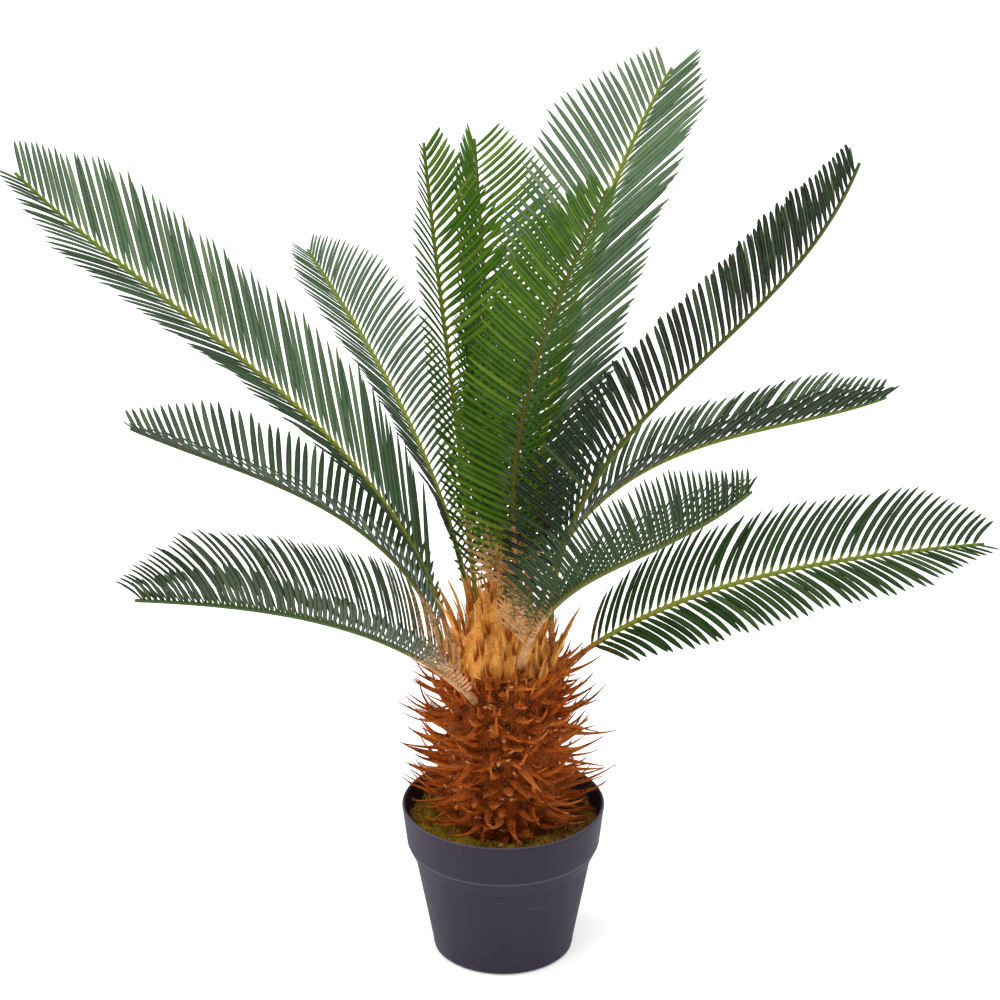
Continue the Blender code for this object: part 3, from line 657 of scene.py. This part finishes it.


# The fronds
# Thirteen fronds of moulded polyethylene, each a wired rib with two rows of pointed
# leaflets, bent into their curves by hand; the feet are pushed into the core and caught
# by the spray of flock. Angles are in degrees. A rise, lift or splay is given at the foot,
# the middle and the tip of the rib.
# A half's tone is painted light and shade: it sets how pale or dark its whole row of leaflets is painted,
# paler for a row the light falls on and darker for a row in shade
Half = namedtuple("Half", "lift splay curl leaflet width tone twist")
Frond = namedtuple("Frond", "name heading turn rise length foot right left "
                            "pitch first stalk dust flock green rib tip")
FRONDS = (
    Frond("frond_left_top", 165, 5, (80, 40, 45), 0.545, 0.270,
          Half((0, 10, 20), (35, 50, 40), 5, 0.120, 0.0050, 0.42, -10),
          Half((20, 10, 0), (35, 55, 40), -25, 0.100, 0.0034, 0.80, -20),
          0.0078, 0.10, 0.0028, 0.07, "rust", "grey", "yellow", "pointed"),
    Frond("frond_left_back", 125, -15, (80, 30, 10), 0.430, 0.275,
          Half((-20, 0, 40), (65, 55, 30), -20, 0.075, 0.0034, 0.45, 10),
          Half((60, 40, 30), (50, 75, 70), -35, 0.060, 0.0030, 0.66, -20),
          0.0066, 0.10, 0.0028, 0.07, "rust", "grey", "yellow", "pointed"),
    Frond("frond_back_left", 115, 5, (80, 75, 80), 0.425, 0.260,
          Half((40, 40, 50), (65, 60, 35), 10, 0.080, 0.0050, 0.40, 0),
          Half((50, 45, 50), (65, 60, 60), -20, 0.080, 0.0036, 0.45, 0),
          0.0074, 0.10, 0.0028, 0.06, "rust", "bright", "yellow", "pointed"),
    Frond("frond_back_middle", 95, 0, (75, 50, 40), 0.415, 0.300,
          Half((30, 30, 30), (60, 65, 60), 10, 0.090, 0.0052, 0.42, 0),
          Half((60, 60, 60), (60, 60, 40), 0, 0.070, 0.0044, 0.58, -20),
          0.0072, 0.10, 0.0028, 0.06, "rust", "bright", "olive", "pointed"),
    Frond("frond_centre", -55, 0, (110, 70, 60), 0.435, 0.315,
          Half((0, 10, 30), (60, 50, 35), 5, 0.080, 0.0042, 0.40, 5),
          Half((10, 15, 25), (85, 90, 80), 10, 0.060, 0.0036, 0.60, -20),
          0.0060, 0.05, 0.0028, 0.18, "tan", "bright", "brown", "pointed"),
    Frond("frond_back_right", 55, 0, (90, 65, 35), 0.490, 0.290,
          Half((30, 20, 20), (50, 50, 40), -10, 0.110, 0.0047, 0.55, 15),
          Half((0, 0, 10), (60, 60, 40), -5, 0.100, 0.0048, 0.40, 0),
          0.0074, 0.10, 0.0028, 0.06, "rust", "mid", "yellow", "pointed"),
    # This frond is seen from its shaded underside, and its near-black greens are painted shade
    Frond("frond_right_top", -15, -20, (100, 50, 70), 0.550, 0.275,
          Half((40, 40, 50), (70, 50, 35), -5, 0.085, 0.0042, 0.62, 0),
          Half((50, 40, 50), (95, 90, 60), -5, 0.070, 0.0036, 0.20, 10),
          0.0074, 0.10, 0.0032, 0.06, "rust", "painted_shade_black", "olive", "blunt"),
    Frond("frond_right_back", 25, -10, (90, 15, 15), 0.375, 0.300,
          Half((30, 40, 50), (50, 60, 35), 25, 0.070, 0.0040, 0.74, -20),
          Half((0, 10, 30), (45, 45, 45), 25, 0.070, 0.0042, 0.30, 10),
          0.0072, 0.12, 0.0028, 0.07, "rust", "olive", "yellow", "pointed"),
    Frond("frond_front_right", -70, 25, (60, 35, 45), 0.415, 0.280,
          Half((20, 40, 70), (45, 50, 35), -15, 0.080, 0.0036, 0.55, 15),
          Half((50, 40, 30), (70, 75, 55), 25, 0.055, 0.0034, 0.72, 0),
          0.0064, 0.06, 0.0040, 0.22, "tan", "deep", "olive", "pointed"),
    Frond("frond_right_low", -10, 0, (45, 20, 10), 0.380, 0.260,
          Half((-30, -20, 0), (50, 55, 40), -20, 0.080, 0.0052, 0.48, 0),
          Half((30, 20, 30), (55, 65, 50), 35, 0.080, 0.0052, 0.58, 0),
          0.0072, 0.09, 0.0026, 0.12, "rust", "deep", "yellow", "pointed"),
    Frond("frond_left_middle", 180, 15, (90, 35, 30), 0.365, 0.255,
          Half((0, 20, 30), (80, 85, 50), 0, 0.065, 0.0050, 0.42, -10),
          Half((20, 25, 25), (45, 40, 35), 0, 0.080, 0.0034, 0.84, 10),
          0.0072, 0.10, 0.0028, 0.08, "rust", "dusk", "olive", "pointed"),
    Frond("frond_front_left", 240, -15, (45, 30, 20), 0.470, 0.250,
          Half((70, 70, 40), (50, 45, 35), 45, 0.085, 0.0032, 0.50, -10),
          Half((-10, 30, 80), (35, 35, 35), 10, 0.075, 0.0036, 0.62, 0),
          0.0064, 0.04, 0.0046, 0.26, "tan", "moss", "green", "pointed"),
    Frond("frond_back_low", 90, 5, (70, 20, 15), 0.370, 0.270,
          Half((35, 40, 45), (60, 50, 40), -5, 0.065, 0.0056, 0.50, 0),
          Half((45, 40, 35), (60, 50, 40), -5, 0.065, 0.0056, 0.62, 0),
          0.0072, 0.10, 0.0028, 0.07, "rust", "deep", "olive", "pointed"),
)
LAST_LEAFLET = 0.985
LEAFLET_LIFT = 8.0
RIB_STEPS = 60
RIB_RADIUS = 0.0024
RIB_TAPER = 0.58
LEAFLET_DEPTH = 0.0017
LEAFLET_STEPS = 16
LAST_ROOT = 0.995
FOOT_FADE = 0.07

# Greens by name: blade, edge and midrib; the sockets take the rib's own colour
GREENS = {
    "grey": (paint(66, 90, 62), paint(40, 58, 38), paint(102, 122, 86)),
    "dusk": (paint(57, 77, 54), paint(33, 47, 31), paint(96, 114, 82)),
    "moss": (paint(48, 63, 38), paint(25, 37, 19), paint(86, 103, 66)),
    "bright": (paint(58, 97, 9), paint(25, 55, 4), paint(106, 135, 34)),
    "mid": (paint(71, 95, 66), paint(42, 61, 41), paint(112, 130, 92)),
    "deep": (paint(32, 55, 20), paint(14, 29, 8), paint(64, 88, 42)),
    "olive": (paint(40, 56, 31), paint(17, 28, 12), paint(84, 106, 72)),
    # Near-black greens: painted shade, for a frond that is seen from its shaded underside
    "painted_shade_black": (paint(23, 29, 17), paint(9, 13, 6), paint(76, 98, 58)),
}
RIBS = {
    "yellow": (paint(128, 134, 42), paint(92, 116, 40)),
    "olive": (paint(90, 94, 36), paint(64, 82, 30)),
    "brown": (paint(86, 88, 24), paint(78, 96, 26)),
    "green": (paint(74, 92, 44), paint(56, 82, 40)),
}
DUST = {
    "rust": (paint(96, 44, 10), paint(162, 94, 40), paint(210, 152, 92)),
    "tan": (paint(138, 88, 48), paint(188, 140, 94), paint(222, 184, 142)),
}


def three_way(share, first, middle, last):
    """A smooth value through three: at the start, halfway and at the end."""
    return (first * 2 * (share - 0.5) * (share - 1)
            + middle * 4 * share * (1 - share)
            + last * 2 * share * (share - 0.5))


def direction(heading, rise):
    return np.stack([np.cos(rise) * np.cos(heading), np.cos(rise) * np.sin(heading), np.sin(rise)], axis=-1)


def rib_angles(frond, share):
    return np.radians(frond.heading + frond.turn * share), np.radians(three_way(share, *frond.rise))


def rib_line(frond):
    """The points of a rib, walked in small steps from the foot of its solid."""
    middles = (np.arange(RIB_STEPS) + 0.5) / RIB_STEPS
    ways = direction(*rib_angles(frond, middles)) * frond.length / RIB_STEPS
    foot = foot_of(frond.name, frond.heading, frond.foot)
    return foot + np.concatenate([np.zeros((1, 3)), np.cumsum(ways, axis=0)])


def on_rib(frond, line, share):
    """The points, the way along, the way across and the upper normal at places on a rib."""
    at = np.arange(RIB_STEPS + 1) / RIB_STEPS
    point = np.stack([np.interp(share, at, line[:, k]) for k in range(3)], axis=1)
    heading, rise = rib_angles(frond, share)
    along = direction(heading, rise)
    across = np.stack([np.sin(heading), -np.cos(heading), np.zeros_like(heading)], axis=1)
    return point, along, across, unit(np.cross(across, along))


def leaflet_share(share):
    """How long a leaflet is beside the longest one, by its place on the rib."""
    return np.minimum(1, 0.45 + 2.2 * share) * np.minimum(1, 0.28 + 3 * (1 - share))


# Every leaflet has a swollen socket at its root, which makes the rib look knotted
LEAFLET_SHAPES = {
    "pointed": pointed_pattern("pointed leaflet", 4, (
        (0.0, 0.92, 2.4), (0.026, 0.84, 1.9), (0.055, 0.50, 1.2), (0.10, 0.66, 1.0), (0.20, 0.92, 0.95),
        (0.36, 1.00, 0.9), (0.54, 1.00, 0.85), (0.72, 0.92, 0.8), (0.87, 0.68, 0.7), (0.955, 0.34, 0.6),
        (1.0, 0, 0))),
    "blunt": pointed_pattern("blunt leaflet", 4, (
        (0.0, 0.92, 2.4), (0.026, 0.84, 1.9), (0.055, 0.52, 1.2), (0.10, 0.64, 1.0), (0.20, 0.86, 0.95),
        (0.40, 1.00, 0.9), (0.66, 1.00, 0.85), (0.86, 0.94, 0.8), (0.95, 0.74, 0.7), (0.985, 0.42, 0.6),
        (1.0, 0, 0))),
}


def leaflets_of(frond, line, finish):
    """Both rows of a frond's leaflets, by the same rule as its solid and finer."""
    shape = LEAFLET_SHAPES[frond.tip]
    count = round((LAST_LEAFLET - frond.first) * frond.length / frond.pitch)
    one_row = frond.first + (LAST_LEAFLET - frond.first) * (np.arange(count) + 0.5) / count
    side = np.repeat([-1.0, 1.0], count)
    share = np.concatenate([one_row, one_row + 0.25 * (LAST_LEAFLET - frond.first) / count])
    share = np.minimum(share + dice.normal(0, 0.0005, 2 * count), LAST_ROOT)
    point, along, across, normal = on_rib(frond, line, share)
    right, left = frond.right, frond.left
    splay = np.where(side > 0, three_way(share, *right.splay), three_way(share, *left.splay))
    lift = np.where(side > 0, three_way(share, *right.lift), three_way(share, *left.lift))
    curl = np.where(side > 0, right.curl, left.curl) + dice.normal(0, 2.5, 2 * count)
    splay = splay + dice.normal(0, 0.6, 2 * count)
    lift = lift + dice.normal(0, 1.1, 2 * count)
    far = (np.arange(LEAFLET_STEPS) + 0.5) / LEAFLET_STEPS
    splay = np.radians(splay[:, None] + curl[:, None] * (0.5 - far))
    lift = np.radians(lift[:, None] + LEAFLET_LIFT * far)
    outward = (across * side[:, None])[:, None] * np.cos(lift)[..., None]
    outward = outward + normal[:, None] * np.sin(lift)[..., None]
    ways = along[:, None] * np.cos(splay)[..., None] + outward * np.sin(splay)[..., None]
    longest = np.where(side > 0, right.leaflet, left.leaflet)
    length = longest * leaflet_share(share) * dice.normal(1, 0.02, 2 * count)
    lines = bent_lines(point, ways, length, shape.rows)
    twist = np.radians(np.where(side > 0, right.twist, left.twist))[:, None]
    flat = along * side[:, None]
    middle = ways[:, LEAFLET_STEPS // 2]
    blade = unit(flat - middle * np.sum(flat * middle, axis=1, keepdims=True))
    sideways = blade * np.cos(twist) + np.cross(middle, blade) * np.sin(twist)
    width = np.where(side > 0, right.width, left.width)
    width = width * (0.74 + 0.26 * np.minimum(1, 4 * (1 - share))) * np.minimum(1, 0.55 + 2.5 * share)
    # Each row's painted light and shade, with a random spread of the leaflets' own tones
    tone = np.where(side > 0, right.tone, left.tone) + dice.normal(0, 0.13, 2 * count)
    piece = laid_copies(frond.name + "_leaflets", shape, lines, sideways, width,
                        np.full(2 * count, LEAFLET_DEPTH), np.clip(tone, 0, 1))
    dust = np.clip(1.2 - share / frond.dust, 0, 1)
    layer = piece.data.attributes.new("dust", "FLOAT", "POINT")
    layer.data.foreach_set("value", np.repeat(dust, len(shape.points)).astype(np.float32))
    piece.data.materials.append(finish)
    smooth(piece, 50)
    return piece


def rib_of(frond, line, finish):
    """A rib drawn as a path with a thick foot and a thin tip, then made a mesh."""
    bpy.ops.object.select_all(action="DESELECT")
    bpy.ops.curve.primitive_nurbs_path_add(location=(0, 0, 0))
    path = bpy.context.object
    path.name = frond.name + "_rib"
    path.data.name = path.name
    spline = path.data.splines[0]
    spline.points.add(len(line) - len(spline.points))
    for i, (point, place) in enumerate(zip(spline.points, line)):
        share = i / RIB_STEPS
        point.co = (*place, 1)
        foot = (frond.stalk / RIB_RADIUS - 1) * math.exp(-share / FOOT_FADE)
        point.radius = 1 + (RIB_TAPER - 1) * share + foot
    spline.use_endpoint_u = True
    spline.order_u = 3
    path.data.resolution_u = 2
    path.data.bevel_depth = RIB_RADIUS
    path.data.bevel_resolution = 2
    path.data.use_fill_caps = True
    bpy.ops.object.convert(target="MESH")
    piece = bpy.context.object
    places = np.array([v.co[:] for v in piece.data.vertices])
    nearest = np.argmin(np.linalg.norm(places[:, None] - line[None], axis=2), axis=1)
    layer = piece.data.attributes.new("along", "FLOAT", "POINT")
    layer.data.foreach_set("value", (nearest / RIB_STEPS).astype(np.float32))
    piece.data.materials.append(finish)
    smooth(piece, 60)
    return piece


def added(nodes, links, first, second):
    total = nodes.new("ShaderNodeMath")
    total.operation = "ADD"
    links.new(first, total.inputs[0])
    links.new(second, total.inputs[1])
    return total.outputs[0]


def from_middle(nodes, links, value):
    """How far a value is from one half, either way."""
    off = nodes.new("ShaderNodeMath")
    off.operation = "SUBTRACT"
    links.new(value, off.inputs[0])
    off.inputs[1].default_value = 0.5
    apart = nodes.new("ShaderNodeMath")
    apart.operation = "ABSOLUTE"
    links.new(off.outputs[0], apart.inputs[0])
    return apart.outputs[0]


def leaflet_plastic(name, blade, edge, midrib, root, dust):
    """Satin leaflet plastic: dark edges, a paler midrib and root, dusted near the crown. The shade layer
    gives each row painted light and shade, paler or darker, with the leaflets' own spread of tones.
    """
    finish, nodes, links, shader = new_finish(name, 0.56, 0.14)
    place = nodes.new("ShaderNodeTexCoord").outputs["Object"]
    uv = nodes.new("ShaderNodeUVMap")
    uv.uv_map = "shape"
    split = nodes.new("ShaderNodeSeparateXYZ")
    links.new(uv.outputs["UV"], split.inputs["Vector"])
    apart = from_middle(nodes, links, split.outputs["X"])
    # Painted light and shade by row, with the leaflets' own spread: from the midrib colour through the
    # blade to the edge colour
    tone = named_layer(nodes, "shade")
    colour = mixed(nodes, links, ranged(nodes, links, tone, 0.0, 0.5), midrib, blade)
    colour = mixed(nodes, links, ranged(nodes, links, tone, 0.5, 1.0), colour, edge)
    colour = mixed(nodes, links, ranged(nodes, links, apart, 0.24, 0.5, 0, 0.75), colour, edge)
    colour = mixed(nodes, links, ranged(nodes, links, apart, 0.11, 0.03, 0, 0.45), colour, midrib)
    at_root = ranged(nodes, links, split.outputs["Y"], 0.13, 0.015, 0, 0.9)
    colour = mixed(nodes, links, at_root, colour, root)
    mottle = noise(nodes, links, place, 130, 3)
    colour = mixed(nodes, links, ranged(nodes, links, mottle, 0.50, 0.78, 0, 0.30), colour, midrib)
    colour = mixed(nodes, links, ranged(nodes, links, mottle, 0.46, 0.24, 0, 0.35), colour, edge)
    dusted = placed_flock(nodes, links, *dust)[0]
    speckle = ranged(nodes, links, noise(nodes, links, place, 300, 3), 0.3, 0.7, -0.26, 0.26)
    amount = added(nodes, links, named_layer(nodes, "dust"), speckle)
    colour = mixed(nodes, links, ranged(nodes, links, amount, 0.30, 0.72, 0, 0.92), colour, dusted)
    links.new(colour, shader.inputs["Base Color"])
    links.new(ranged(nodes, links, amount, 0.30, 0.72, 0.52, 0.92), shader.inputs["Roughness"])
    bumped(nodes, links, shader, noise(nodes, links, place, 700, 2), 0.25, 0.0004)
    return finish


def rib_plastic(name, body, tip, dust, reach):
    """Rib plastic that goes from flocked at the foot to its own colour and a greener tip."""
    finish, nodes, links, shader = new_finish(name, 0.56, 0.18)
    place = nodes.new("ShaderNodeTexCoord").outputs["Object"]
    along = named_layer(nodes, "along")
    colour = mixed(nodes, links, ranged(nodes, links, along, 0.35, 0.95), body, tip)
    mottle = noise(nodes, links, place, 220, 3)
    colour = mixed(nodes, links, ranged(nodes, links, mottle, 0.48, 0.74, 0, 0.5), colour, tip)
    dusted, height = placed_flock(nodes, links, *dust)
    speckle = ranged(nodes, links, noise(nodes, links, place, 300, 3), 0.3, 0.7, -0.26, 0.26)
    near = ranged(nodes, links, along, 0.5 * reach, 1.5 * reach, 1.0, 0.0)
    amount = added(nodes, links, near, speckle)
    colour = mixed(nodes, links, ranged(nodes, links, amount, 0.30, 0.72), colour, dusted)
    links.new(colour, shader.inputs["Base Color"])
    links.new(ranged(nodes, links, amount, 0.30, 0.72, 0.5, 0.94), shader.inputs["Roughness"])
    bumped(nodes, links, shader, height, 0.4, 0.0006)
    return finish


for frond in FRONDS:
    line = rib_line(frond)
    dust = DUST[frond.flock]
    socket = RIBS[frond.rib][0]
    rib_finish = rib_plastic(frond.name + " rib", *RIBS[frond.rib], dust, frond.dust)
    rib = rib_of(frond, line, rib_finish)
    leaf_finish = leaflet_plastic(frond.name + " leaflets", *GREENS[frond.green], socket, dust)
    leaflets = leaflets_of(frond, line, leaf_finish)
    for piece in (rib, leaflets):
        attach(piece, "root")
        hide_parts(frond.name)


# The studio
# A plain white floor that glows a little, as a lit sweep does, broad soft light from
# above, a light at each side, and the camera where the photograph was taken from.
FLOOR_SIZE = 30.0
FLOOR_LEVEL = -0.0003
LIGHTS_AIM = (0, 0, 0.35)
CAMERA_PLACE = (-0.0027, -3.2011, 1.8265)
CAMERA_TILT = math.radians(66.15)
CAMERA_LENS = 154.7
LIGHTS = (
    ("top light", (0.0, -0.6, 6.0), 7.0, 420.0),
    ("key light", (-1.3, -2.2, 3.4), 1.6, 18.0),
    ("left light", (-2.6, 0.3, 0.9), 1.4, 48.0),
    ("right light", (2.5, 0.3, 1.0), 1.4, 20.0),
)


def floor_finish():
    finish, nodes, links, shader = new_finish("white floor", 0.9, 0.1)
    place = nodes.new("ShaderNodeTexCoord").outputs["Object"]
    tone = noise(nodes, links, place, 0.4, 1)
    colour = mixed(nodes, links, tone, paint(250, 250, 250), paint(247, 247, 247))
    links.new(colour, shader.inputs["Base Color"])
    shader.inputs["Emission Color"].default_value = (1.0, 1.0, 1.0, 1.0)
    shader.inputs["Emission Strength"].default_value = 0.3
    return finish


bpy.ops.object.select_all(action="DESELECT")
bpy.ops.mesh.primitive_plane_add(size=FLOOR_SIZE, location=(0, 0, FLOOR_LEVEL))
floor = bpy.context.object
floor.name = "floor"
floor.data.materials.append(floor_finish())

for name, place, size, power in LIGHTS:
    bpy.ops.object.light_add(type="AREA", location=place)
    light = bpy.context.object
    light.name = name
    light.data.size = size
    light.data.energy = power
    aim = Vector(LIGHTS_AIM) - Vector(place)
    light.rotation_euler = aim.to_track_quat("-Z", "Y").to_euler()

world = bpy.data.worlds.new("studio")
world.use_nodes = True
world.node_tree.nodes["Background"].inputs["Color"].default_value = (1.0, 1.0, 1.0, 1.0)
world.node_tree.nodes["Background"].inputs["Strength"].default_value = 0.45
bpy.context.scene.world = world
bpy.context.scene.view_settings.view_transform = "Standard"

bpy.ops.object.camera_add(location=CAMERA_PLACE, rotation=(CAMERA_TILT, 0, 0))
camera = bpy.context.object
camera.data.lens = CAMERA_LENS
camera.data.sensor_width = 36.0
camera.data.clip_end = 60.0
bpy.context.scene.camera = camera
